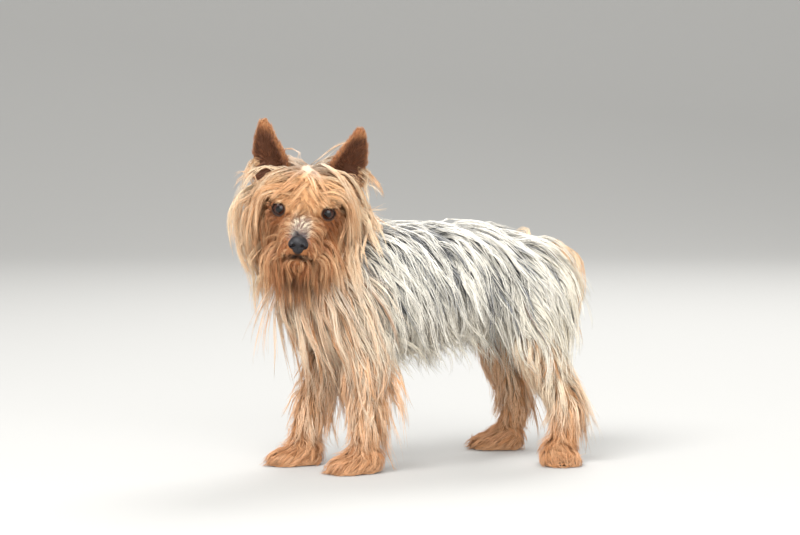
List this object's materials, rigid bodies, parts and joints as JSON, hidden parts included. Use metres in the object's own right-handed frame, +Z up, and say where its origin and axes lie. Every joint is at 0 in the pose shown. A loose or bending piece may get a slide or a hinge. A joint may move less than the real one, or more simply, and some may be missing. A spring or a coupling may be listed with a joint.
{
  "type": "standing yorkshire terrier model",
  "caption": "Life-size still model of a small long-haired terrier, standing square with its head turned to its left.",
  "frame": {"origin": "on the floor under the middle of the whole dog's box", "axes": "+Z up, the dog's body faces -Y, and its left side is +X"},
  "size_m": [0.1654, 0.3596, 0.324],
  "materials": {
    "silver_coat": "long silky steel and silver hair",
    "gold_coat": "long silky golden tan hair",
    "leg_coat": "soft tan hair with paler locks",
    "ear": "short velvety dark tan hair",
    "eye": "wet dark brown eye",
    "nose_leather": "fine-grained dark grey nose leather, slightly moist"
  },
  "bodies": {
    "root": {"torso": "silver_coat", "neck": "silver_coat", "head": "gold_coat", "nose": "nose_leather", "ear_left": "ear", "ear_right": "ear", "eye_left": "eye", "eye_right": "eye", "foreleg_left": "leg_coat", "foreleg_right": "leg_coat", "hindleg_left": "leg_coat", "hindleg_right": "leg_coat", "paw_front_left": "leg_coat", "paw_front_right": "leg_coat", "paw_rear_left": "leg_coat", "paw_rear_right": "leg_coat", "tail": "gold_coat"}
  },
  "joints": []
}
